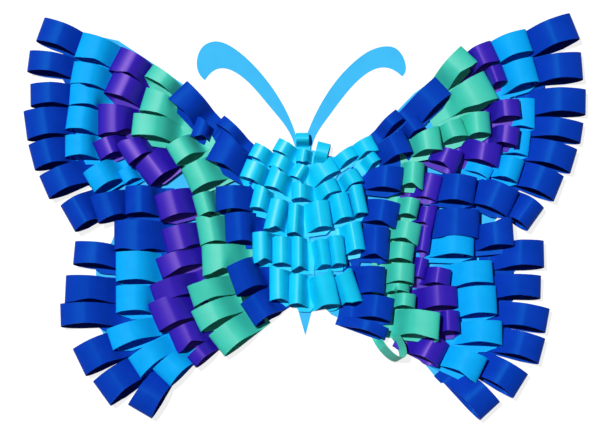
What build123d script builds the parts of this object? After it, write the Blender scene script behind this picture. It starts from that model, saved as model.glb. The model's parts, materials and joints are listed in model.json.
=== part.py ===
from build123d import *
from collections import namedtuple
from math import acos, atan, atan2, cos, degrees, radians, sin, sqrt, tan
import os

os.makedirs("parts", exist_ok=True)

# Quilled paper butterfly, lying on its back as it would on a table, in millimetres.
# +Z is its front, +X its right wing as seen from the front, +Y the way its head points.
# The origin is on the rear face of the card, on the line of the tail, between the wings.

# Sheet sizes
card_thickness = 0.5
strip_thickness = 0.3
glue_line = 0.05
rest_gap = 0.2

# Height of a loop over its own strip, by where it is glued
rim_height = 16.0
band_height = 15.0
inner_height = 15.0
small_height = 11.0
body_height = 12.5
head_height = 9.0
pressed_height = 8.0

# Shape of a loop, as shares of its own reach from the glued end to the nose
tab_share = 0.24
nose_share = 0.28
bend_steps = 6

# Spacing of the places where a loop is felt for the paper under it, how often it is tried, and
# how far apart two noses are when the loops can't meet
probe_step = 1.5
settle_turns = 16
never_meet = 65.0

# Loops side by side are trimmed along the line between them, so that a fan of them has room.
# They are side by side if they point nearly the same way, their noses are about level, and
# they are neither on top of each other nor a strip's width apart.
side_gap = 0.3
least_half = 2.5
beside_turn = 60.0
beside_along = 0.4
beside_apart = (0.55, 1.4)

# How much longer than a loop its trimmed room is, and how high it reaches
room_ahead = 5.0
room_height = 200.0

# A loop as it is seen from the front: the middle of its nose, the way it points in degrees
# from +X, the width of its strip, its reach, and how far its tailward edge leans up in degrees.
Loop = namedtuple("Loop", "x y heading width reach lean")

# A loop once glued: the middle of its strip at the glued end and the ways it lies.
Laid = namedtuple("Laid", "x y z forward right up height outline felt loop")

laid = []


def side_of(heading):
    # +1 where the tailward edge is on the right hand of the way a loop points, else -1
    return 1 if cos(radians(heading)) >= 0 else -1


def nose_bend(reach, height, inset):
    # Points of the bend from the underside, over the nose, to where the strip runs straight
    # down to the glued tab. It is an ellipse, and the straight run is tangent to it.
    half_length = nose_share * reach
    half_height = height / 2
    centre_x = reach - half_length
    foot_x = tab_share * reach
    foot_z = 2 * strip_thickness - inset
    across = (foot_x - centre_x) / (half_length - inset)
    up = (foot_z - half_height) / (half_height - inset)
    toward_foot = degrees(atan2(up, across)) % 360
    last = toward_foot - degrees(acos(1 / sqrt(across**2 + up**2)))
    points = []
    for step in range(bend_steps + 1):
        turn = radians(-90 + (last + 90) * step / bend_steps)
        x = centre_x + (half_length - inset) * cos(turn)
        z = half_height + (half_height - inset) * sin(turn)
        points.append((x, z))
    return points


def outside_of(reach, height):
    # Side view of one strip bent over on itself, both ends glued together in a flat tab
    tab = tab_share * reach
    tab_top = 2 * strip_thickness
    return [(0, 0), *nose_bend(reach, height, 0), (tab, tab_top), (0, tab_top)]


def inside_of(reach, height):
    # The hollow of the same loop, which ends where its two strips meet
    return [(tab_share * reach, strip_thickness), *nose_bend(reach, height, strip_thickness)]


def underside(reach, height, x):
    # Height of the lower strip at a distance from the glued end
    half_length = nose_share * reach
    out = min(max((x - reach + half_length) / half_length, 0), 1)
    return height / 2 * (1 - sqrt(1 - out**2))


def place_behind(loop, back):
    # A place on a loop's middle line, on the plan, at a distance behind its nose
    heading = radians(loop.heading)
    return loop.x - back * cos(heading), loop.y - back * sin(heading)


def half_beside(loop, other, back):
    # How much of its half width a loop keeps, at a distance behind its nose, on the side of
    # another loop. The two share the room between their middle lines by their widths.
    share = loop.width / (loop.width + other.width)
    depth = min(loop.reach, other.reach)
    marks = []
    for step in (0, depth):
        x1, y1 = place_behind(loop, step)
        x2, y2 = place_behind(other, step)
        marks.append((x1 + (x2 - x1) * share, y1 + (y2 - y1) * share))
    (x1, y1), (x2, y2) = marks
    x, y = place_behind(loop, back)
    heading = radians(loop.heading)
    out_x, out_y = -sin(heading), cos(heading)
    facing = out_x * (y2 - y1) - out_y * (x2 - x1)
    return ((x1 - x) * (y2 - y1) - (y1 - y) * (x2 - x1)) / facing


def stands_beside(loop, other):
    # Whether two loops stand side by side rather than one behind the other
    turn = (other.heading - loop.heading + 180) % 360 - 180
    heading = radians(loop.heading + turn / 2)
    x1, y1 = place_behind(loop, nose_share * loop.reach)
    x2, y2 = place_behind(other, nose_share * other.reach)
    along = abs((x2 - x1) * cos(heading) + (y2 - y1) * sin(heading))
    apart = abs((y2 - y1) * cos(heading) - (x2 - x1) * sin(heading))
    room = (loop.width + other.width) / 2
    shallow = along < beside_along * min(loop.reach, other.reach)
    nearest, furthest = beside_apart
    return abs(turn) < beside_turn and shallow and nearest * room < apart < furthest * room


def sides_of(loop):
    # Half widths of a strip to its left and right, each at the nose and at the glued end
    sides = [[loop.width / 2, loop.width / 2], [loop.width / 2, loop.width / 2]]
    for other in every_loop:
        if other is not loop and stands_beside(loop, other):
            for end, back in enumerate((0, loop.reach)):
                half = half_beside(loop, other, back)
                side = 0 if half_beside(loop, other, 0) > 0 else 1
                half = half * (1 if side == 0 else -1) - side_gap / 2
                sides[side][end] = max(min(sides[side][end], half), least_half)
    return sides


def lay_at(loop, height, floor, climb):
    # Places a loop with its glued end on a floor, climbing towards its nose
    heading = radians(loop.heading)
    lean = -radians(loop.lean) * side_of(loop.heading)
    forward = (cos(heading) * cos(climb), sin(heading) * cos(climb), sin(climb))
    level = (sin(heading), -cos(heading), 0)
    rise = (-cos(heading) * sin(climb), -sin(heading) * sin(climb), cos(climb))
    right = tuple(level[i] * cos(lean) - rise[i] * sin(lean) for i in range(3))
    up = tuple(rise[i] * cos(lean) + level[i] * sin(lean) for i in range(3))
    x = loop.x - loop.reach * forward[0] - height / 2 * up[0]
    y = loop.y - loop.reach * forward[1] - height / 2 * up[1]
    z = floor + loop.width / 2 * abs(right[2])
    outline = outside_of(loop.reach, height)
    # The outline as it is felt, with its glued end as much longer as the felt places are apart
    felt = [(-probe_step / 2, 0), *outline[1:-1], (-probe_step / 2, outline[-1][1])]
    return Laid(x, y, z, forward, right, up, height, outline, felt, loop)


def place_on(placed, ahead, across, above):
    # A place on a laid loop, from its glued end forward, to its right and up
    return [
        start + ahead * forward + across * right + above * up
        for start, forward, right, up in zip(placed[:3], placed.forward, placed.right, placed.up)
    ]


def half_widths(loop, x, y):
    # How far a place on the plan is to a loop's left, and its strip's edges to the left and right
    heading = radians(loop.heading)
    back = (loop.x - x) * cos(heading) + (loop.y - y) * sin(heading)
    left = (y - loop.y) * cos(heading) - (x - loop.x) * sin(heading)
    share = back / loop.reach
    edges = [nose + (root - nose) * share for nose, root in sides[loop]]
    return left, edges[0], -edges[1]


def top_of(laid_loop, x, y):
    # Height of a laid loop's outside right over a place on the plan, or 0 beside it
    left, left_edge, right_edge = half_widths(laid_loop.loop, x, y)
    if not right_edge - 0.01 <= left <= left_edge + 0.01:
        return 0
    forward, up = laid_loop.forward, laid_loop.up
    dx, dy, dz = x - laid_loop.x, y - laid_loop.y, -laid_loop.z
    ahead = dx * forward[0] + dy * forward[1] + dz * forward[2]
    above = dx * up[0] + dy * up[1] + dz * up[2]
    outline = laid_loop.felt
    highest = 0
    for (x1, z1), (x2, z2) in zip(outline, outline[1:] + outline[:1]):
        tilt = forward[2] * (z2 - z1) - up[2] * (x2 - x1)
        if abs(tilt) < 1e-9:
            continue
        height = ((above - z1) * (x2 - x1) - (ahead - x1) * (z2 - z1)) / tilt
        run = (ahead + height * forward[2] - x1) * (x2 - x1)
        run += (above + height * up[2] - z1) * (z2 - z1)
        if height > highest and 0 <= run <= (x2 - x1) ** 2 + (z2 - z1) ** 2:
            highest = height
    return highest


def surface_under(x, y):
    # Highest paper laid so far at a place on the plan, or the card
    highest = card_thickness + glue_line
    for loop in laid:
        if (x - loop.x) ** 2 + (y - loop.y) ** 2 < never_meet**2:
            highest = max(highest, top_of(loop, x, y) + rest_gap)
    return highest


def settle(loop, height):
    # Lays a loop on the card and on the loops under it: its glued end as low as they let it,
    # then its nose raised until it clears them
    tab = tab_share * loop.reach
    steps = int(loop.reach / probe_step) + 1
    across_steps = int(loop.width / probe_step) + 1
    floor = card_thickness + glue_line
    climb = 0
    for turn in range(settle_turns):
        placed = lay_at(loop, height, floor, climb)
        lift = 0
        rise = 0
        for step in range(steps + 1):
            ahead = loop.reach * step / steps
            below = underside(loop.reach, height, ahead)
            middle = place_on(placed, ahead, 0, below)
            aside = place_on(placed, ahead, 1, below)
            edges = []
            for edge in (1, 2):
                here = half_widths(loop, middle[0], middle[1])
                there = half_widths(loop, aside[0], aside[1])
                start = here[0] - here[edge]
                edges.append(start / (start - there[0] + there[edge]))
            for across_step in range(across_steps + 1):
                across = edges[0] + (edges[1] - edges[0]) * across_step / across_steps
                x, y, z = place_on(placed, ahead, across, below)
                missing = surface_under(x, y) - z
                if ahead <= tab:
                    lift = max(lift, missing)
                else:
                    rise = max(rise, missing / ahead)
        if lift > 0.01:
            floor += lift
        elif rise > 0.0005:
            climb = atan(tan(climb) + rise)
        else:
            break
    return lay_at(loop, height, floor, climb)


def loop_plane(loop):
    # The plane of a loop's side view: x from the glued end to the nose, z across the strip
    return Plane(origin=(loop.x, loop.y, loop.z), x_dir=loop.forward, z_dir=loop.right)


def plan_corners(loop):
    # Corners of a strip's room on the plan, a little longer than the strip at both ends
    heading = radians(loop.heading)
    ahead, behind = -room_ahead, loop.reach + room_ahead
    corners = []
    for side, back in ((0, ahead), (0, behind), (1, behind), (1, ahead)):
        nose, root = sides[loop][side]
        half = (nose + (root - nose) * back / loop.reach) * (1 if side == 0 else -1)
        x, y = place_behind(loop, back)
        corners.append((x - half * sin(heading), y + half * cos(heading)))
    return corners


def build_loop(placed, half_width, room):
    # One strip bent over on itself, with its edges trimmed to its room on the plan
    with BuildPart() as strip:
        with BuildSketch(loop_plane(placed)):
            with BuildLine():
                Polyline(*placed.outline, close=True)
            make_face()
            with BuildLine():
                Polyline(*inside_of(placed.loop.reach, placed.height), close=True)
            make_face(mode=Mode.SUBTRACT)
        extrude(amount=half_width, both=True)
        with BuildSketch():
            with BuildLine():
                Polyline(*room, close=True)
            make_face()
        extrude(amount=room_height, mode=Mode.INTERSECT)
    return strip.part.solids()


# Rows of loops in the order of gluing: the rim of a wing first, then each band inward, so that
# a loop hides the glued end of the one outside it, and the body and the head last.
# Each loop is given as a Loop is: nose x, nose y, heading, width, reach, lean.
rows = [
    ("left_rim_lower", rim_height, [
        (-132.5, -157.5, 240, 22, 42, 3),
        (-163, -143, 216, 24, 42, 3),
        (-181, -118, 206, 24, 42, 3),
        (-196, -80, 182, 18.5, 52, 3),
        (-192, -58.2, 177, 20.5, 48, -4),
        (-185, -30, 175, 18.6, 46, 6),
    ]),
    ("left_rim_upper", rim_height, [
        (-190, -3, 210, 24, 32, 8),
        (-209, 22, 204, 20, 44, 8),
        (-219, 46, 195, 21, 37, 6),
        (-224, 71.5, 188, 23.5, 43, 6),
        (-220, 96, 181, 18, 41, 3),
        (-221.5, 123.5, 173, 17, 45, 6),
        (-212, 149, 160, 20, 43, 3),
    ]),
    ("left_waist", band_height, [
        (-168.4, 3.2, 198, 20.5, 34, 5),
        (-153, -16, 180, 23, 48, 5),
        (-144, 11.5, 180, 23, 33, 7),
    ]),
    ("left_sky_lower", band_height, [
        (-115.5, -130, 226, 21, 36, 3),
        (-136.5, -123, 213, 20, 42, 3),
        (-156.5, -100, 198.5, 18, 46, 4),
        (-151.5, -67.5, 180, 22, 40, 3),
        (-151.5, -41.5, 180, 24, 42, 3),
    ]),
    ("left_sky_upper", band_height, [
        (-173, 25.5, 210, 18.5, 32, 7),
        (-192, 54.5, 180, 17, 32, 6),
        (-190.5, 78, 172, 19, 32, 6),
        (-188.5, 95, 176, 15, 36, 3),
        (-186.5, 114, 169, 18.5, 38, 3),
        (-181, 137, 161, 20, 39, 5),
    ]),
    ("left_sky_pressed", pressed_height, [
        (-147, 29.5, 205, 12, 18, 3),
    ]),
    ("left_violet_lower", band_height, [
        (-91, -118, 221, 11, 29, 3),
        (-106.5, -101, 204, 16, 36, 3),
        (-121, -84, 203.5, 21, 40, 3),
        (-122.5, -63.5, 199, 15, 42, -6),
        (-117.5, -42.5, 200, 15.5, 43, 5),
        (-113, -21.5, 195, 19, 36, 4),
    ]),
    ("left_violet_upper", band_height, [
        (-118.5, 5, 195, 21, 37, 5),
        (-130, 29.5, 217, 18.5, 36, 10),
        (-167, 50.5, 203, 16, 30, 8),
        (-145, 46.5, 210, 16, 32, 10),
        (-165.7, 77, 180, 24, 36, 3),
        (-157, 107, 155, 20, 36, 4),
        (-151.5, 127, 152, 18, 36, 4),
    ]),
    ("left_green_lower", band_height, [
        (-71, -105, 218, 21, 40, 3),
        (-87.5, -85.5, 206, 18.5, 42, 4),
        (-92, -65, 198, 17, 42, -10),
        (-82.5, -36, 182, 19.5, 40, 4),
        (-85.5, -15, 190, 20, 28, 3),
        (-88, 6.5, 195, 18, 22, 3),
    ]),
    ("left_green_upper", band_height, [
        (-138, 71.5, 172, 16, 43, 12),
        (-95, 27, 205, 21, 34, 6),
        (-107, 47.5, 208, 17, 30, 12),
        (-130, 93, 163, 20, 38, 4),
        (-125, 116, 143, 12.5, 35, 3),
    ]),
    ("left_small", small_height, [
        (-101.5, 100.5, 133, 20, 36, 6),
        (-89, 70.5, 158, 11, 19, 8),
        (-68, 76.5, 137, 9.5, 30, 6),
    ]),
    ("left_inner", inner_height, [
        (-46, -80.5, 213, 22, 32, 3),
        (-58.6, -52.7, 201, 24.5, 33, -5),
        (-64, -11, 183, 24, 32, 3),
        (-71.5, 12.5, 182, 20, 36, 3),
        (-73.5, 55.5, 151, 22, 36, 10),
    ]),
    ("right_rim_lower", rim_height, [
        (148.5, -157, -47.5, 21.5, 44, 3),
        (173, -137, -32, 22.5, 42, 3),
        (190, -109, -15, 21, 44, 3),
        (194.5, -84.5, -10.5, 19.5, 48, 3),
        (189, -57.5, -1, 18.5, 46, -4),
        (191.5, -31, 1, 21.5, 46, 4),
    ]),
    ("right_rim_upper", rim_height, [
        (185, -3.5, -36, 22.5, 28, 5),
        (203.5, 21, -22.5, 21.5, 42, 5),
        (215.5, 43, -17, 20, 46, 4),
        (222, 65.5, -9, 16.5, 48, 3),
        (225, 90.5, -1, 20.4, 50, 3),
        (222, 119.5, 4, 22, 47, 6),
        (216, 151.5, 21, 22.3, 47, 8),
    ]),
    ("right_waist", band_height, [
        (166.6, -14.8, 5, 19.5, 36, 8),
        (139.5, -7.5, -2, 23, 44, 3),
        (167, 8, -24, 23, 40, 3),
        (136.5, 19, -8, 22, 36, 5),
    ]),
    ("right_sky_lower", band_height, [
        (142, -124, -25, 21, 40, 3),
        (158, -94.5, 1, 20, 42, 3),
        (153.5, -68, 3, 23, 39, 3),
        (150.5, -45.5, 4, 18.5, 41, 3),
        (135.5, -26.5, -2, 14, 40, 10),
    ]),
    ("right_sky_upper", band_height, [
        (173, 34, -18, 19, 26, 6),
        (185, 116.5, 16, 21, 34, 5),
        (179.5, 140, 18.5, 19, 38, 6),
    ]),
    ("right_sky_pressed", pressed_height, [
        (149, 32, -25, 9, 24, 3),
        (180, 56.5, -7, 20.5, 26, 4),
        (184.3, 82, 0, 22.5, 26, 3),
    ]),
    ("right_violet_lower", band_height, [
        (111, -112.5, -27, 20.5, 33, 3),
        (123.5, -85.2, 3, 17.5, 22, 3),
        (122, -66, 3, 15.5, 38, 3),
        (116.5, -51, -9, 14, 26, 3),
    ]),
    ("right_violet_pressed", pressed_height, [
        (97.5, -44, -12, 17, 14, 3),
        (100.5, -20.5, -8, 21, 15, 3),
        (104.5, -2, -12, 13.5, 19, 3),
        (108.2, 20.3, -14, 20.5, 24, 3),
    ]),
    ("right_violet_upper", band_height, [
        (156.5, 45.5, -10, 17, 36, 3),
        (124.5, 42.5, -22, 16, 32, 6),
        (170.5, 62, -6, 15, 28, 3),
        (172, 85.5, 7, 14.7, 30, 4),
        (159.7, 114, 20, 14.8, 20, 4),
        (152, 132, 25.5, 17.2, 30, 4),
    ]),
    ("right_green_lower", band_height, [
        (107, -88, -5, 21, 44, -4),
        (88.7, -69.5, -5, 11.5, 23, 3),
        (84, -59.5, -4, 7, 24, 3),
        (87.7, -47.5, -3, 15.5, 28, 3),
        (87.3, -31, -8, 14.5, 26, 3),
        (92.5, -15.5, -11, 15, 29, 3),
    ]),
    ("right_green_upper", band_height, [
        (91.2, 4.3, -12.5, 14.5, 20, 3),
        (95.5, 32, -4, 18.5, 23, 7),
        (148.5, 73.5, 5, 18, 27, 5),
        (128, 70.5, 22, 16, 27, 5),
        (108.5, 62, 10, 19.5, 30, 10),
        (148.5, 106, 28.5, 22, 44, 4),
        (130.5, 130, 47.5, 16, 38, 4),
    ]),
    ("right_small", small_height, [
        (111, 104, 43, 19, 40, 5),
        (93, 75, 38, 12, 20, 5),
        (76.3, 81.2, 43, 10, 26, 6),
    ]),
    ("right_inner", inner_height, [
        (66, -95.5, -20, 10, 42, 3),
        (70.5, -76.5, -8, 19.5, 34, 3),
        (64.3, -51.5, -1, 20, 28, -8),
        (67.5, -22, -2, 23, 27, 3),
        (75, 0, -10, 18.5, 33, 3),
        (78.3, 28.5, -6, 19.5, 34, 8),
        (83, 59, 24, 19, 30, 5),
    ]),
    ("left_body_lower", body_height, [
        (-28.6, -56.5, 180, 25, 20, 3),
        (-13, -60, 178, 25, 18, 3),
        (-42, -25.3, 180, 23, 20, 3),
        (-26.3, -29, 180, 22.5, 20, 3),
        (-11, -31, 180, 24, 15, 3),
    ]),
    ("right_body_lower", body_height, [
        (42, -55.5, 18, 23, 21, -10),
        (25.5, -59, 11, 26, 18, -6),
        (47, -17, 10, 23, 20, 6),
        (32, -28, 7, 24, 17, -3),
        (20, -30, 8, 22, 15, -3),
    ]),
    ("left_body_upper", body_height, [
        (-42.5, 14, 166, 17, 19, 10),
        (-30, 2.5, 166, 23, 20, 3),
        (-14, -3.5, 176, 24, 15, 3),
        (-49.5, 38, 156, 15.5, 25, 6),
        (-30.5, 30, 160, 15, 22, 4),
        (-11, 18, 180, 12.5, 14, 3),
    ]),
    ("right_body_upper", body_height, [
        (48.3, 12.5, 13, 23, 16, 3),
        (36.5, 8, 14, 21, 20, 3),
        (20.5, 1, 8, 22.5, 18, 3),
        (43.5, 33.5, 32, 11, 20, 3),
        (26.7, 24, 25, 10.5, 16, 3),
    ]),
    ("head", head_height, [
        (-42.8, 53, 151, 12.5, 20, 4),
        (-26.5, 45, 154, 12, 20, 4),
        (-9.5, 36, 148, 11, 14, 3),
        (-23.5, 57, 150, 11.5, 20, 3),
        (-6.5, 48.5, 170, 9.5, 14, 3),
        (58, 48, 38, 9.5, 16, 4),
        (56, 59, 28, 12, 22, 3),
        (40, 51.7, 34, 10, 22, 3),
        (25, 40.5, 32, 11.5, 20, 4),
        (15.6, 58, 76, 10.5, 14, 3),
        (-2, 66, 90, 10, 12, 0),
    ]),
]

loops_by_row = [(name, height, [Loop(*values) for values in loops]) for name, height, loops in rows]
every_loop = [loop for name, height, loops in loops_by_row for loop in loops]
sides = {loop: sides_of(loop) for loop in every_loop}

for name, height, loops in loops_by_row:
    with BuildPart() as row:
        for loop in loops:
            placed = settle(loop, height)
            laid.append(placed)
            add(build_loop(placed, loop.width, plan_corners(loop)))
    row.part.label = name
    export_step(row.part, "parts/" + name + ".step")

# One loop has come out of its row. It hangs over the edge of the card, turned on its side, and
# shows only past the loops that lie on its glued end.
hanging_height = 14.5
hanging_loop = Loop(76, -116, -54, 13, 27, -62)
hanging_room = [(50, -95.5), (64.6, -100.8), (66.6, -95.5), (106, -99), (106, -135), (50, -135)]
hanging_laid = lay_at(hanging_loop, hanging_height, card_thickness + glue_line, 0)

with BuildPart() as hanging:
    add(build_loop(hanging_laid, hanging_loop.width / 2, hanging_room))
hanging.part.label = "hanging_loop"
export_step(hanging.part, "parts/hanging_loop.step")

# Card: tail, wings and antennae cut in one piece from one sheet. Its wings lie behind the loops
# and so are the same on both sides, while each antenna is cut as it is seen.
tail = [(8, -66), (5.5, -77), (0.3, -97), (-5.5, -77), (-8, -66)]
wing = [
    (0, -66),
    (8, -66),
    (21, -80),
    (31, -84.5),
    (39, -90.5),
    (60, -96.5),
    (70, -98.5),
    (79, -104),
    (96, -119.5),
    (109, -135.4),
    (150, -118),
    (166, -88),
    (168, -43),
    (155, -21),
    (150, -8),
    (165, 12),
    (185, 40),
    (193, 85),
    (193, 130),
    (178, 146),
    (150, 140),
    (121, 121),
    (98, 105),
    (88, 98),
    (80, 90),
    (74, 83.5),
    (48, 56),
    (30, 46),
    (14, 48),
    (7, 52),
    (0, 52),
]
# Each antenna's outline: its outer edge up to the curled tip, and its inner edge back down
left_antenna = (
    [
        (-5, 56),
        (-10, 72),
        (-40, 119),
        (-58, 134.5),
        (-71, 139.4),
        (-81, 136.2),
        (-86.3, 127),
        (-85.5, 114.5),
        (-80.3, 108.3),
    ],
    [(-80.3, 108.3), (-65, 117.8), (-50, 110.5), (-30, 89), (-10, 61), (-7, 48)],
)
right_antenna = (
    [(-1, 58), (5, 73.5), (40, 123.5), (60, 134.8), (72, 134.3), (80, 124), (80.2, 114), (78, 111.3)],
    [(78, 111.3), (60, 118.2), (40, 105.5), (20, 80.5), (8, 62), (5, 50)],
)

with BuildPart() as card:
    with BuildSketch():
        with BuildLine():
            Polyline(*tail, close=True)
        make_face()
        for side in (1, -1):
            with BuildLine():
                Polyline(*[(side * x, y) for x, y in wing], close=True)
            make_face()
        for outer_edge, inner_edge in (left_antenna, right_antenna):
            with BuildLine():
                Spline(*outer_edge)
                Spline(*inner_edge)
                Line(inner_edge[-1], outer_edge[0])
            make_face()
    extrude(amount=card_thickness)
card.part.label = "backing_card"
export_step(card.part, "parts/backing_card.step")
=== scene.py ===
import json
import math
import random

import bpy
import numpy as np
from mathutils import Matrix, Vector
from mathutils.bvhtree import BVHTree


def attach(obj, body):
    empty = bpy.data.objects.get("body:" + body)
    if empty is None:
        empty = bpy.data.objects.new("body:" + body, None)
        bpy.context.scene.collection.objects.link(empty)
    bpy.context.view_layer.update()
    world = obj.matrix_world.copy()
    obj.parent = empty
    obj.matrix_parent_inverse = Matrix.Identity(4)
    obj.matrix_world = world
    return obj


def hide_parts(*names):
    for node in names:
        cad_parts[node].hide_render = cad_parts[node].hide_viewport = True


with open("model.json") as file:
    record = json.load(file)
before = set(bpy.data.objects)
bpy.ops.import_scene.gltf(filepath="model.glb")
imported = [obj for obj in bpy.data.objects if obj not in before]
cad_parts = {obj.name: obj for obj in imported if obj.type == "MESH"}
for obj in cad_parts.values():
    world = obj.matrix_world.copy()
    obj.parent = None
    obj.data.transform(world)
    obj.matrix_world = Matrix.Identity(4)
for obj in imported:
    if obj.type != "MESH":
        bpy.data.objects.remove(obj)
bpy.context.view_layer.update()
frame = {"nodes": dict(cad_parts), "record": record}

# Lengths are in metres. Each strip of paper is drawn again, smooth, in the place of its solid.

# Thickness of the paper, height of the card's face with its glue, and how far a pressed strip
# stays under the one that presses it
PLY = 0.0003
CARD_FACE = 0.00055
REST_GAP = 0.0004

# The bend of the paper. The half length of its nose, as the solids have it, how far ahead of the
# glued end its plies part, and the longest hidden end behind that are shares of the reach. How
# far back the crown is highest is a share of the way from the nose to where the plies part.
NOSE_SHARE = 0.28
FOOT_AHEAD = 0.02
LONGEST_TAB = 0.319
CROWN_BEHIND = 0.42

# Handles of the smooth bends: over the nose's tip as a share of the height, and before the
# crown, behind it and before the foot as shares of the way that the bend goes back
TIP_HANDLE = 0.71
CROWN_HANDLE = 0.52
RUN_HANDLE = 0.42
FOOT_HANDLE = 0.30

# How finely a strip is divided
NOSE_STEPS = 10
CROWN_STEPS = 16
RUN_STEPS = 18
FLAT_STEPS = 6
ACROSS_STEPS = 6

# What each loop has of its own: the most that its sides differ in height, as a share, and how far
# apart the strips are cut in the pattern of the paper
TWIST = 0.02
PATTERN_SPREAD = 40
CHANCE_SEED = 11

# How much each loop leans, with its top towards the head, about a point at this share of its
# height, and how far the crown's tailward edge stands back, which opens the mouth to view
LEAN = 0.20
LEAN_PIVOT = 0.65
MOUTH = 0.0016

# How far a ray looks for another solid, how far past a face of its own strip it goes on, and how
# far off an edge and how high over the strip's low ply the room beside it is felt
FAR = 0.06
PAST_FACE = 0.00001
OFF_EDGE = 0.0001
FELT_HEIGHT = 0.0015
UP = (0, 0, 1)
DOWN = (0, 0, -1)

# Pressing: the least height of a strip's top in plies, how near to its edges others are felt on
# it, as a share of its width, and how often the heights are smoothed
LEAST_PLIES = 1.5
PRESSED_EDGE = 0.04
PRESSED_SMOOTHING = 6

# The hidden glued end goes back by steps until this much of it is covered, felt at these shares
# of the half width, of which so many have to be covered
TAB_STEP = 0.001
COVERED_TAB = 0.006
TAB_SHARES = (-0.6, 0, 0.6)
TAB_VOTES = 2

# How far a loop whose root lies open reaches back to the next one, at most and as a share of its
# reach, felt at these shares of its width
WIDEST_STRETCH = 0.014
MOST_STRETCH = 0.40
STRETCH_SHARES = (0.2, 0.5, 0.8)

# A strip widens into a narrow gap beside it, but for a dark line, at these shares of its reach.
# The gap is felt at these shares of its height.
DARK_LINE = 0.0004
MOST_WIDENING = 0.0035
WIDEST_GAP = 0.009
WIDENED_AT = (0.35, 0.6, 0.85)
GAP_LEVELS = (0.1, 0.5, 0.85)

# How much wider than its nose the ply on the card lies towards the tail at least, how far off a
# neighbour may be for it to reach there, how far it goes under that, and how much wider it lies
# towards the head
LEAST_MARGIN = 0.003
MOST_MARGIN = 0.009
UNDER_NEIGHBOUR = 0.001
HEADWARD_MARGIN = 0.0012

# The least share of the tailward margin that a side gets, and how far a strip lies across the
# butterfly before its headward side gets its own margin
LEAST_TAILWARD = 0.4
LIES_ACROSS = 0.5

# A margin grows by these shares while there is paper or card below, felt a little past its edge,
# from a little above it and no further down than this, and is smoothed so often
MARGIN_SHARES = (0.2, 0.4, 0.6, 0.8, 1.0)
PAST_MARGIN = 0.0005
OVER_MARGIN = 0.001
DEEPEST = 0.03
MARGIN_SMOOTHING = 4

# The ring that has come loose: its size, how far its middle is shifted from its solid's, how far
# round it goes, in degrees each way from its nose, how high a neighbour is that it is tucked
# under, over how many steps each way it bends down to that, and a height over all the loops
RING_LENGTH = 0.035
RING_HEIGHT = 0.0155
RING_WIDTH = 0.0145
RING_SHIFT = -0.0014
RING_OPEN = 140
RING_TUCK = 0.007
RING_BLEND = 2
OVER_ALL = 0.05

# Smoothing of a row of values: the shares of a value's two neighbours and of itself
SMOOTHING = (0.25, 0.5, 0.25)

# Reading a strip from its solid: decimals by which points are told apart, the least cosine
# between edges that run the same way, the most between the way across the strip and the normal
# of a face that isn't on its side, and what keeps a division by zero away
POINT_DECIMALS = 6
SAME_WAY = 0.9998
ACROSS_FACE = 0.05
TINY = 1e-18

# Angle at which two faces meet in a sharp edge, in degrees
SHARP_ANGLE = 40

# Colour of each paper and of the card in full light, as shares of linear light, with the share of
# its gloss, its roughness and the tint of its gloss
FINISHES = {
    "navy_paper": ((0.001, 0.040, 0.45), 0.18, 0.46, (0.03, 0.6, 1)),
    "sky_paper": ((0.001, 0.41, 1.0), 0.05, 0.55, (1, 1, 1)),
    "violet_paper": ((0.020, 0.005, 0.40), 0.42, 0.44, (0.9, 0.5, 1)),
    "green_paper": ((0.030, 0.56, 0.42), 0.6, 0.56, (1, 1, 1)),
    "cyan_paper": ((0.001, 0.61, 0.98), 0.25, 0.38, (1, 1, 1)),
    "card": ((0.040, 0.50, 0.95), 0.10, 0.60, (1, 1, 1)),
}


def unit(vector):
    return vector / np.linalg.norm(vector)


def islands_of(node):
    """The separate solids of a CAD node: each as its points and its triangles."""
    mesh = node.data
    mesh.calc_loop_triangles()
    points = np.array([v.co for v in mesh.vertices], float)
    keys, first, index = np.unique(
        np.round(points, POINT_DECIMALS), axis=0, return_index=True, return_inverse=True
    )
    index = index.ravel()
    triangles = np.array([[index[i] for i in t.vertices] for t in mesh.loop_triangles])
    group = np.arange(len(keys))
    changed = True
    while changed:
        lowest = group[triangles].min(axis=1)
        before = group.copy()
        for corner in range(3):
            np.minimum.at(group, triangles[:, corner], lowest)
        changed = (before != group).any()
    found = []
    for name in np.unique(group[triangles[:, 0]]):
        faces = triangles[group[triangles[:, 0]] == name]
        used, local = np.unique(faces, return_inverse=True)
        found.append((points[first][used], local.reshape(-1, 3)))
    return found


class Neighbours:
    """All the solids at once, to feel how much room there is round a strip."""

    def __init__(self, solids):
        points, triangles, self.owner = [], [], []
        for index, (corners, faces) in enumerate(solids):
            triangles += (faces + sum(len(p) for p in points)).tolist()
            points.append(corners)
            self.owner += [index] * len(faces)
        self.tree = BVHTree.FromPolygons(np.vstack(points).tolist(), triangles)

    def room(self, start, way, own, most):
        """How far it is from a point to the first solid that isn't the strip's own."""
        gone = 0.0
        at = Vector(start)
        way = Vector(way)
        while gone < most:
            hit, _, face, distance = self.tree.ray_cast(at, way, most - gone)
            if hit is None:
                return most
            gone += distance
            if self.owner[face] != own:
                return gone
            gone += PAST_FACE
            at = hit + way * PAST_FACE
        return most


def ends_of_edges(triangles):
    return np.vstack([triangles[:, [0, 1]], triangles[:, [1, 2]], triangles[:, [2, 0]]])


def strip_axis(points, triangles):
    """The way across a strip: the direction that most of its edges, by length, run in."""
    ends = ends_of_edges(triangles)
    edges = points[ends[:, 1]] - points[ends[:, 0]]
    lengths = np.linalg.norm(edges, axis=1)
    ways = edges / lengths[:, None]
    same = np.abs(ways @ ways.T) > SAME_WAY
    votes = same @ lengths
    best = int(np.argmax(votes))
    signs = np.sign(ways[same[best]] @ ways[best])
    return unit((ways[same[best]] * signs[:, None] * lengths[same[best], None]).sum(0))


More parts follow.
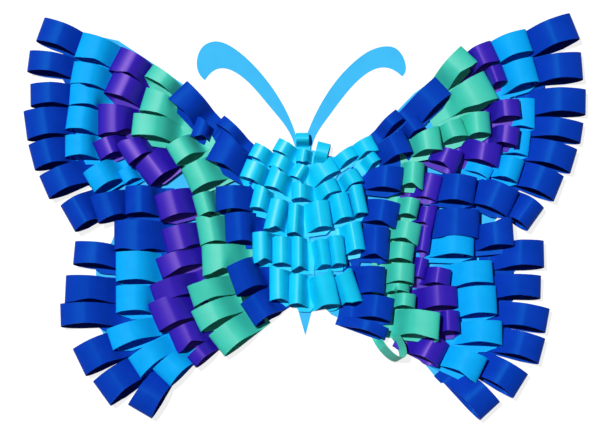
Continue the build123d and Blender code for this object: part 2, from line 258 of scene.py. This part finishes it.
class Strip:
    """A solid read as a bent strip: its ways, its size, its side planes and its neighbours.

    Places on it are given ahead of its glued end, sideways to its right, and above that end."""

    def __init__(self, points, triangles, own, neighbours):
        self.own = own
        self.neighbours = neighbours
        across = strip_axis(points, triangles)
        corners = points[triangles]
        normals = np.cross(corners[:, 1] - corners[:, 0], corners[:, 2] - corners[:, 0])
        normals /= np.linalg.norm(normals, axis=1)[:, None] + TINY
        ends = ends_of_edges(triangles[np.abs(normals @ across) < ACROSS_FACE])
        edges = points[ends[:, 1]] - points[ends[:, 0]]
        edges -= (edges @ across)[:, None] * across
        longest = int(np.argmax(np.linalg.norm(edges, axis=1)))
        forward = unit(edges[longest])
        run = points[ends[longest]] @ forward
        ahead = points @ forward
        if ahead.max() - run.max() < run.min() - ahead.min():
            forward = -forward
            ahead = -ahead
        up = unit(np.cross(across, forward))
        floor = points[ends[longest][0]] @ up
        if (points @ up).mean() < floor:
            up = -up
            floor = -floor
        start = ahead.min()
        self.forward, self.up, self.right = forward, up, np.cross(forward, up)
        self.level = unit(forward * (1, 1, 0))
        self.origin = start * forward + floor * up
        self.measure(ahead - start, points @ self.right, points @ up - floor)

    def measure(self, ahead, sideways, above):
        """Its reach, its height, and the two side planes that fit its corners."""
        self.reach = ahead.max()
        self.height = above.max()
        middle = (sideways.min() + sideways.max()) / 2
        self.sides = []
        for sign in (-1, 1):
            rows = sign * (sideways - middle) > 0
            table = np.c_[np.ones(rows.sum()), ahead[rows], above[rows]]
            self.sides.append(np.linalg.lstsq(table, sideways[rows], rcond=None)[0])

    def place(self, ahead, sideways, above):
        """A point of the strip: in its own plane, and level with the card behind its solid."""
        way = self.forward if ahead > 0 else self.level
        return self.origin + way * ahead + self.right * sideways + self.up * above

    def edges(self, ahead, above):
        """Where the left and the right edge of the solid are."""
        return [side @ (1, max(ahead, 0), above) for side in self.sides]

    def room(self, start, way, most=FAR):
        return self.neighbours.room(start, way, self.own, most)


def curve_through(first, second, third, last, steps):
    """Points on a smooth bend between two ends, drawn by its two handles, without its first end."""
    share = (np.arange(1, steps + 1) / steps)[:, None]
    rest = 1 - share
    return (
        rest**3 * np.array(first)
        + 3 * rest**2 * share * np.array(second)
        + 3 * rest * share**2 * np.array(third)
        + share**3 * np.array(last)
    )


def bend_points(reach, height, hidden, stretch):
    """Middle line of a strip bent over on itself, from one glued end round the nose to the other,
    and the number of its first point that other strips may press down, which is behind its crown.
    """
    low, top = PLY / 2, height - PLY / 2
    second_ply = 2 * PLY - low
    half_length = NOSE_SHARE * reach
    centre = reach - half_length
    foot = FOOT_AHEAD * reach - stretch
    crown = reach - CROWN_BEHIND * (reach - foot)
    end = -hidden - stretch
    flat = np.linspace(end, centre, FLAT_STEPS + RUN_STEPS, endpoint=False)
    turn = np.radians(np.linspace(-90, 0, NOSE_STEPS + 1))
    under = np.c_[
        centre + (half_length - low) * np.cos(turn), height / 2 + (height / 2 - low) * np.sin(turn)
    ]
    tip = under[-1]
    before_crown = tip[0] - CROWN_HANDLE * (tip[0] - crown)
    over = curve_through(
        tip, (tip[0], TIP_HANDLE * height), (before_crown, top), (crown, top), CROWN_STEPS
    )
    length = crown - foot
    after_crown = crown - RUN_HANDLE * length
    before_foot = foot + FOOT_HANDLE * length
    run = curve_through(
        (crown, top), (after_crown, top), (before_foot, second_ply), (foot, second_ply), RUN_STEPS
    )
    back = np.c_[np.linspace(foot, end, FLAT_STEPS + 1)[1:], np.full(FLAT_STEPS, second_ply)]
    line = np.vstack([np.c_[flat, np.full(len(flat), low)], under, over, run, back])
    return line, len(flat) + len(under) + len(over)


def normals_of(line):
    """The way out of the loop at each point of its middle line."""
    along = np.gradient(line, axis=0)
    along /= np.linalg.norm(along, axis=1)[:, None]
    return np.c_[along[:, 1], -along[:, 0]]


def lengths_along(line):
    return np.r_[0, np.cumsum(np.linalg.norm(np.diff(line, axis=0), axis=1))]


def smoothed(before, values, after):
    return SMOOTHING[0] * before + SMOOTHING[1] * values + SMOOTHING[2] * after


def pressed(strip, line, first):
    """Heights of a strip at each point across it, lowered where others lie on its top."""
    heights = np.repeat(line[:, 1:], ACROSS_STEPS + 1, axis=1)
    for i in range(first, len(line)):
        left, far = strip.edges(*line[i])
        for j in range(ACROSS_STEPS + 1):
            share = min(max(j / ACROSS_STEPS, PRESSED_EDGE), 1 - PRESSED_EDGE)
            at = strip.place(line[i, 0], left + (far - left) * share, 2 * PLY)
            room = strip.room(at, strip.up) + 2 * PLY - REST_GAP
            heights[i, j] = max(min(line[i, 1], room), LEAST_PLIES * PLY)
    limit = heights.copy()
    for _ in range(PRESSED_SMOOTHING):
        inner = heights[first:-1]
        inner[:] = smoothed(heights[first - 1:-2], inner, heights[first + 1:])
        padded = np.pad(inner, ((0, 0), (1, 1)), "edge")
        inner[:] = smoothed(padded[:, :-2], inner, padded[:, 2:])
        heights = np.minimum(heights, limit)
    return heights


def hidden_length(strip):
    """How far the glued ends run on, on the card, until the next band covers them."""
    left, far = strip.edges(0, 0)
    middle, half = (left + far) / 2, (far - left) / 2
    covered = 0
    behind = 0.0
    for count in range(1, int(LONGEST_TAB * strip.reach / TAB_STEP) + 1):
        behind = count * TAB_STEP
        votes = 0
        for share in TAB_SHARES:
            at = strip.place(-behind, middle + share * half, 0) + np.array([0, 0, 2 * PLY])
            votes += strip.room(at, UP) < FAR
        covered += votes >= TAB_VOTES
        if covered * TAB_STEP >= COVERED_TAB:
            break
    return behind if covered else 0.0


def open_stretch(strip, hidden):
    """How far a root that nothing covers reaches back to the next loop."""
    left, far = strip.edges(0, 0)
    free = min(
        strip.room(
            strip.place(0, left + (far - left) * share, FELT_HEIGHT), -strip.level, WIDEST_STRETCH
        )
        for share in STRETCH_SHARES
    )
    if hidden or free >= WIDEST_STRETCH:
        return 0
    return min(free - DARK_LINE, MOST_STRETCH * strip.reach)


def widening(strip, sign):
    """How far a strip widens, at a few places along it, into a narrow gap over the card."""
    found = []
    for share in WIDENED_AT:
        ahead = share * strip.reach
        gaps = []
        for level in GAP_LEVELS:
            above = level * strip.height
            edge = strip.edges(ahead, above)[sign > 0] + sign * OFF_EDGE
            at = strip.place(ahead, edge, above)
            gaps.append(strip.room(at, strip.right * sign, WIDEST_GAP))
        gap = min(gaps)
        edge = strip.edges(ahead, 0)[sign > 0] + sign * gap / 2
        below = strip.room(strip.place(ahead, edge, strip.height / 2), DOWN)
        beside = gap < WIDEST_GAP and below < FAR
        found.append(max(min(gap / 2 - DARK_LINE, MOST_WIDENING), 0) if beside else 0)
    return found if found[-1] > 0 else [0] * len(WIDENED_AT)


def wanted_margin(strip, sign, edge, ahead, above):
    """How far the ply on the card goes beyond the nose's side, to end under what lies beside it."""
    tailward = max(-sign * strip.right[1], LEAST_TAILWARD)
    if tailward == LEAST_TAILWARD and abs(strip.right[1]) >= LIES_ACROSS:
        return HEADWARD_MARGIN
    beside = strip.place(ahead, edge + sign * OFF_EDGE, above + FELT_HEIGHT)
    room = strip.room(beside, strip.right * sign, MOST_MARGIN)
    if room >= MOST_MARGIN:
        return LEAST_MARGIN * tailward
    return max(LEAST_MARGIN, room + UNDER_NEIGHBOUR) * tailward


def low_margins(strip, line, nose):
    """How far the ply on the card lies beyond the nose's sides at each point, on its card only."""
    margins = []
    for sign, edge in zip((-1, 1), nose):
        row = []
        for ahead, above in line:
            wanted = wanted_margin(strip, sign, edge, ahead, above)
            allowed = 0.0
            for share in MARGIN_SHARES:
                beyond = edge + sign * (share * wanted + PAST_MARGIN)
                at = strip.place(ahead, beyond, above + OVER_MARGIN)
                if strip.room(at, DOWN, DEEPEST) >= DEEPEST:
                    break
                allowed = share * wanted
            row.append(allowed)
        row = np.array(row)
        for _ in range(MARGIN_SMOOTHING):
            row = np.minimum(row, np.convolve(np.pad(row, 1, "edge"), SMOOTHING, "valid"))
        margins.append(row)
    return margins


def drawn_edges(strip, line):
    """Where the left and the right edge of the drawn strip are at each point of its middle line."""
    wider = [widening(strip, sign) for sign in (-1, 1)]
    nose = strip.edges(strip.reach, strip.height / 2)
    low_count = FLAT_STEPS + RUN_STEPS
    margins = low_margins(strip, line[:low_count], nose)
    spans = []
    for i, (ahead, above) in enumerate(line):
        left, far = strip.edges(ahead, above)
        left -= np.interp(ahead / strip.reach, WIDENED_AT, wider[0])
        far += np.interp(ahead / strip.reach, WIDENED_AT, wider[1])
        k = min(i, low_count - 1)
        fade = max(0, 1 - (i - k) / NOSE_STEPS) ** 2
        left += (min(left, nose[0] - margins[0][k]) - left) * fade
        far += (max(far, nose[1] + margins[1][k]) - far) * fade
        spans.append((left, far))
    return spans


def strip_faces(count):
    """Faces of a closed strip with two skins of so many rows, and which of them are cut edges."""
    row = ACROSS_STEPS + 1
    inner = count * row
    faces = []
    cut = []
    for i in range(count - 1):
        for j in range(ACROSS_STEPS):
            a, b = i * row + j, (i + 1) * row + j
            faces.append((a, a + 1, b + 1, b))
            faces.append((inner + a, inner + b, inner + b + 1, inner + a + 1))
            cut += [0, 0]
        for j, order in ((0, 1), (ACROSS_STEPS, -1)):
            a, b = i * row + j, (i + 1) * row + j
            faces.append((a, b, inner + b, inner + a)[::order])
            cut.append(1)
    for i, order in ((0, -1), (count - 1, 1)):
        for j in range(ACROSS_STEPS):
            a = i * row + j
            faces.append((a, a + 1, inner + a + 1, inner + a)[::order])
            cut.append(1)
    return faces, cut


def loop_mesh(strip, chance):
    """Points, faces, cut edges and paper coordinates of one smooth loop."""
    hidden = hidden_length(strip)
    line, first = bend_points(strip.reach, strip.height, hidden, open_stretch(strip, hidden))
    heights = pressed(strip, line, first)
    lines = [np.c_[line[:, 0], heights[:, j]] for j in range(ACROSS_STEPS + 1)]
    outs = [normals_of(one) for one in lines]
    lengths = lengths_along(line)
    spans = drawn_edges(strip, line)
    twist = chance.uniform(-TWIST, TWIST)
    seed = chance.uniform(0, PATTERN_SPREAD)
    lean = LEAN * strip.right[1]
    mouth = MOUTH * strip.right[1]
    points = []
    coordinates = []
    for ply in (PLY / 2, -PLY / 2):
        lowest = CARD_FACE + (PLY / 2 - ply)
        for i, (left, far) in enumerate(spans):
            for j in range(ACROSS_STEPS + 1):
                share = j / ACROSS_STEPS
                ahead, above = lines[j][i] + outs[j][i] * ply
                tailward = (1 - share) if mouth > 0 else share
                sideways = left + (far - left) * share + lean * (above - LEAN_PIVOT * strip.height)
                sideways += mouth * tailward * (above / strip.height) ** 2
                point = strip.place(ahead, sideways, above * (1 + twist * (share - 0.5)))
                point[2] = max(point[2], lowest)
                points.append(point)
                coordinates.append((lengths[i], (far - left) * (share - 0.5), seed))
    return (points, *strip_faces(len(line)), coordinates)


def ring_tucks(strip, line, places_across):
    """How far, from 0 to 1, each point of the ring is bent down under a tall neighbour."""
    covered = []
    for ahead, above in line:
        spots = [strip.place(ahead, sideways, above) for sideways in places_across]
        tops = [OVER_ALL - strip.room((x, y, OVER_ALL), DOWN) for x, y, _ in spots]
        covered.append(float(max(tops) > RING_TUCK))
    window = np.full(2 * RING_BLEND + 1, 1 / (RING_BLEND + 1))
    return np.minimum(np.convolve(np.pad(covered, RING_BLEND, "edge"), window, "valid"), 1)


def hanging_mesh(strip, chance):
    """The loop that has come out of its row: a wide ring with its ends tucked under neighbours."""
    turn = np.radians(np.linspace(-RING_OPEN, RING_OPEN, 2 * RUN_STEPS + 1))
    centre = strip.reach - RING_LENGTH / 2
    rise = strip.height / 2 + RING_SHIFT
    line = np.c_[
        centre + RING_LENGTH / 2 * np.cos(turn), rise + RING_HEIGHT / 2 * np.sin(turn)
    ]
    outs = normals_of(line)
    lengths = lengths_along(line)
    middle = np.mean(strip.edges(strip.reach, strip.height / 2))
    places_across = middle + np.linspace(-RING_WIDTH / 2, RING_WIDTH / 2, ACROSS_STEPS + 1)
    tucks = ring_tucks(strip, line, places_across)
    seed = chance.uniform(0, PATTERN_SPREAD)
    points = []
    coordinates = []
    for ply in (PLY / 2, -PLY / 2):
        for (ahead, above), length, tuck in zip(line + outs * ply, lengths, tucks):
            for sideways in places_across:
                point = strip.place(ahead, sideways, above)
                tucked = min(point[2], 2 * CARD_FACE - ply)
                point[2] = max(point[2] + tuck * (tucked - point[2]), PLY / 2 - ply)
                points.append(point)
                coordinates.append((length, sideways - middle, seed))
    return (points, *strip_faces(len(line)), coordinates)


def row_piece(name, node, strips, material, slot, chance):
    """One row of loops as a single piece, each loop a closed mesh of its own."""
    points, faces, coordinates, cut = [], [], [], []
    draw = hanging_mesh if node.name == "hanging_loop" else loop_mesh
    for strip in strips:
        new_points, new_faces, new_cut, new_coordinates = draw(strip, chance)
        faces += [tuple(i + len(points) for i in face) for face in new_faces]
        points += new_points
        coordinates += new_coordinates
        cut += new_cut
    mesh = bpy.data.meshes.new(name)
    mesh.from_pydata([tuple(p) for p in points], [], faces)
    mesh.attributes.new("strip", "FLOAT_VECTOR", "POINT").data.foreach_set(
        "vector", np.array(coordinates, np.float32).ravel()
    )
    mesh.attributes.new("cut", "FLOAT", "FACE").data.foreach_set("value", np.array(cut, np.float32))
    mesh.materials.append(material)
    mesh.shade_smooth()
    mesh.set_sharp_from_angle(angle=math.radians(SHARP_ANGLE))
    piece = bpy.data.objects.new(name, mesh)
    bpy.context.scene.collection.objects.link(piece)
    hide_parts(node.name)
    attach(piece, "root")


# Sockets of a colour mix
MIX_SHARE, MIX_FIRST, MIX_SECOND, MIX_RESULT = 0, 6, 7, 2

# Paper: the scale and detail of its clouding and of its fibres, which lie along the strip, the
# factors and lifts of its colour where it clouds and on a cut edge, where the darker colour is
# painted shade, how much its roughness varies, and the strength and depth of the fibres' relief
PAPER_CLOUDS = (90, 3)
PAPER_FIBRES = (900, 4)
FIBRE_STRETCH = (1, 3, 1)
PAPER_DEEP = 0.86
PAPER_PALE = 1.1
PAPER_LIFT = 0.004
CUT_EDGE_SHADE = 0.8
CUT_EDGE_SHADE_LIFT = 0.02
ROUGHNESS_RANGE = 0.05
PAPER_RELIEF = 0.25
PAPER_RELIEF_DEPTH = 0.00006

# The same for the card
CARD_CLOUDS = (40, 3)
CARD_GRAIN = (1400, 4)
CARD_DEEP = 0.88
CARD_PALE = 1.08
CARD_LIFT = 0.01
CARD_RELIEF = 0.3
CARD_RELIEF_DEPTH = 0.00008


def new_material(name):
    material = bpy.data.materials.new(name)
    material.use_nodes = True
    nodes = material.node_tree.nodes
    return material, nodes, material.node_tree.links, nodes["Principled BSDF"]


def noise(nodes, links, vector, scale, detail, stretch=None):
    texture = nodes.new("ShaderNodeTexNoise")
    texture.inputs["Scale"].default_value = scale
    texture.inputs["Detail"].default_value = detail
    if stretch:
        mapping = nodes.new("ShaderNodeMapping")
        mapping.inputs["Scale"].default_value = stretch
        links.new(vector, mapping.inputs["Vector"])
        vector = mapping.outputs["Vector"]
    links.new(vector, texture.inputs["Vector"])
    return texture.outputs["Fac"]


def mix_colour(nodes, links, share, first, second):
    mix = nodes.new("ShaderNodeMix")
    mix.data_type = "RGBA"
    links.new(share, mix.inputs[MIX_SHARE])
    for socket, value in ((mix.inputs[MIX_FIRST], first), (mix.inputs[MIX_SECOND], second)):
        if isinstance(value, bpy.types.NodeSocket):
            links.new(value, socket)
        else:
            socket.default_value = (*value, 1)
    return mix.outputs[MIX_RESULT]


def shade(colour, factor, lift=0.0):
    return tuple(min(1, c * factor + lift) for c in colour)


def set_gloss(shader, gloss, tint):
    shader.inputs["Specular IOR Level"].default_value = gloss
    shader.inputs["Specular Tint"].default_value = (*tint, 1)


def add_relief(nodes, links, shader, height, strength, depth):
    bump = nodes.new("ShaderNodeBump")
    bump.inputs["Strength"].default_value = strength
    bump.inputs["Distance"].default_value = depth
    links.new(height, bump.inputs["Height"])
    links.new(bump.outputs["Normal"], shader.inputs["Normal"])


def paper_material(slot, colour, gloss, roughness, tint):
    """Smooth dyed paper: faint clouding, fine fibres and a cut edge darkened with painted shade."""
    material, nodes, links, shader = new_material(slot)
    strip = nodes.new("ShaderNodeAttribute")
    strip.attribute_name = "strip"
    cut = nodes.new("ShaderNodeAttribute")
    cut.attribute_name = "cut"
    vector = strip.outputs["Vector"]
    clouds = noise(nodes, links, vector, *PAPER_CLOUDS)
    fibres = noise(nodes, links, vector, *PAPER_FIBRES, FIBRE_STRETCH)
    deeper = shade(colour, PAPER_DEEP)
    paler = shade(colour, PAPER_PALE, PAPER_LIFT)
    base = mix_colour(nodes, links, clouds, deeper, paler)
    # The cut edge gets the paper's colour darkened, as painted shade along the edges
    edge = shade(colour, CUT_EDGE_SHADE, CUT_EDGE_SHADE_LIFT)
    base = mix_colour(nodes, links, cut.outputs["Fac"], base, edge)
    links.new(base, shader.inputs["Base Color"])
    rough = nodes.new("ShaderNodeMapRange")
    rough.inputs["To Min"].default_value = roughness - ROUGHNESS_RANGE
    rough.inputs["To Max"].default_value = roughness + ROUGHNESS_RANGE
    links.new(fibres, rough.inputs["Value"])
    links.new(rough.outputs["Result"], shader.inputs["Roughness"])
    set_gloss(shader, gloss, tint)
    add_relief(nodes, links, shader, fibres, PAPER_RELIEF, PAPER_RELIEF_DEPTH)
    return material


def card_material(slot, colour, gloss, roughness, tint):
    """Matt card with a slightly uneven face."""
    material, nodes, links, shader = new_material(slot)
    vector = nodes.new("ShaderNodeTexCoord").outputs["Object"]
    clouds = noise(nodes, links, vector, *CARD_CLOUDS)
    grain = noise(nodes, links, vector, *CARD_GRAIN)
    deeper = shade(colour, CARD_DEEP)
    paler = shade(colour, CARD_PALE, CARD_LIFT)
    links.new(mix_colour(nodes, links, clouds, deeper, paler), shader.inputs["Base Color"])
    shader.inputs["Roughness"].default_value = roughness
    set_gloss(shader, gloss, tint)
    add_relief(nodes, links, shader, grain, CARD_RELIEF, CARD_RELIEF_DEPTH)
    return material


papers = {
    slot: (card_material if slot == "card" else paper_material)(slot, *finish)
    for slot, finish in FINISHES.items()
}
slots = {part["node"]: part["material_slot"] for part in frame["record"]["subparts"]}

chance = random.Random(CHANCE_SEED)
cad_nodes = sorted(frame["nodes"].items())
solids = [(name, solid) for name, node in cad_nodes for solid in islands_of(node)]
neighbours = Neighbours([solid for _, solid in solids])
for name, node in cad_nodes:
    slot = slots[name]
    if name == "backing_card":
        node.data.materials.clear()
        node.data.materials.append(papers[slot])
    else:
        strips = [
            Strip(*solid, own, neighbours) for own, (row, solid) in enumerate(solids) if row == name
        ]
        row_piece(name + "_paper", node, strips, papers[slot], slot, chance)

# The picture: the size of one pixel of the photograph on the object, the pixels of its width, of
# its middle and of the part's origin, and a camera far above, whose scale is true at the height
# of focus
PIXEL = 0.0008
PICTURE_WIDTH = 612
PICTURE_MIDDLE = (306, 213.5)
ORIGIN_PIXEL = (305, 215)
CAMERA_HEIGHT = 2.5
FOCUS_HEIGHT = 0.010
SENSOR = 36.0


def add_camera():
    data = bpy.data.cameras.new("camera")
    camera = bpy.data.objects.new("camera", data)
    bpy.context.scene.collection.objects.link(camera)
    data.sensor_width = SENSOR
    data.lens = SENSOR * (CAMERA_HEIGHT - FOCUS_HEIGHT) / (PICTURE_WIDTH * PIXEL)
    x = (PICTURE_MIDDLE[0] - ORIGIN_PIXEL[0]) * PIXEL
    y = (ORIGIN_PIXEL[1] - PICTURE_MIDDLE[1]) * PIXEL
    camera.location = (x, y, CAMERA_HEIGHT)
    bpy.context.scene.camera = camera


# The lamp shines from above, so many degrees from the left and from the head. Its softness is
# its width in degrees. The room gives a little light from all round.
LAMP_LEFT = 17.0
LAMP_HEADWARD = 18.0
LAMP_STRENGTH = 3.45
LAMP_SOFTNESS = 1.0
ROOM_LIGHT = 0.02


def add_lamp():
    data = bpy.data.lights.new("lamp", "SUN")
    data.energy = LAMP_STRENGTH
    data.angle = math.radians(LAMP_SOFTNESS)
    lamp = bpy.data.objects.new("lamp", data)
    bpy.context.scene.collection.objects.link(lamp)
    left = math.tan(math.radians(LAMP_LEFT))
    headward = math.tan(math.radians(LAMP_HEADWARD))
    lamp.rotation_mode = "QUATERNION"
    lamp.rotation_quaternion = Vector((-left, headward, 1)).to_track_quat("Z", "Y")


def seen_rays(nodes, links):
    """1 for rays from the camera, off gloss or through glass, and 0 for light on the object."""
    path = nodes.new("ShaderNodeLightPath")
    total = path.outputs["Is Camera Ray"]
    for name in ("Is Glossy Ray", "Is Transmission Ray"):
        larger = nodes.new("ShaderNodeMath")
        larger.operation = "MAXIMUM"
        links.new(total, larger.inputs[0])
        links.new(path.outputs[name], larger.inputs[1])
        total = larger.outputs[0]
    return total


def set_world():
    world = bpy.data.worlds.new("room")
    bpy.context.scene.world = world
    world.use_nodes = True
    nodes, links = world.node_tree.nodes, world.node_tree.links
    background = nodes["Background"]
    strength = nodes.new("ShaderNodeMapRange")
    strength.inputs["To Min"].default_value = ROOM_LIGHT
    strength.inputs["To Max"].default_value = 1.0
    links.new(seen_rays(nodes, links), strength.inputs["Value"])
    links.new(strength.outputs["Result"], background.inputs["Strength"])
    background.inputs["Color"].default_value = (1, 1, 1, 1)


# The floor lies just under the card. It is white to the camera by its own glow and what the lamp
# adds, and dark enough to throw little light back on the object.
FLOOR_HALF = 6.0
FLOOR_HEIGHT = -0.0001
FLOOR_COLOUR = 0.25
FLOOR_GLOW = 0.85


def add_floor():
    mesh = bpy.data.meshes.new("floor")
    corners = [(-1, -1), (1, -1), (1, 1), (-1, 1)]
    mesh.from_pydata(
        [(x * FLOOR_HALF, y * FLOOR_HALF, FLOOR_HEIGHT) for x, y in corners], [], [(0, 1, 2, 3)]
    )
    floor = bpy.data.objects.new("floor", mesh)
    bpy.context.scene.collection.objects.link(floor)
    material, nodes, links, shader = new_material("floor")
    shader.inputs["Base Color"].default_value = (FLOOR_COLOUR, FLOOR_COLOUR, FLOOR_COLOUR, 1)
    shader.inputs["Roughness"].default_value = 1.0
    shader.inputs["Specular IOR Level"].default_value = 0.0
    glow = nodes.new("ShaderNodeMath")
    glow.operation = "MULTIPLY"
    glow.inputs[1].default_value = FLOOR_GLOW
    links.new(seen_rays(nodes, links), glow.inputs[0])
    shader.inputs["Emission Color"].default_value = (1, 1, 1, 1)
    links.new(glow.outputs[0], shader.inputs["Emission Strength"])
    mesh.materials.append(material)


add_camera()
add_lamp()
set_world()
add_floor()
bpy.context.scene.view_settings.view_transform = "Standard"
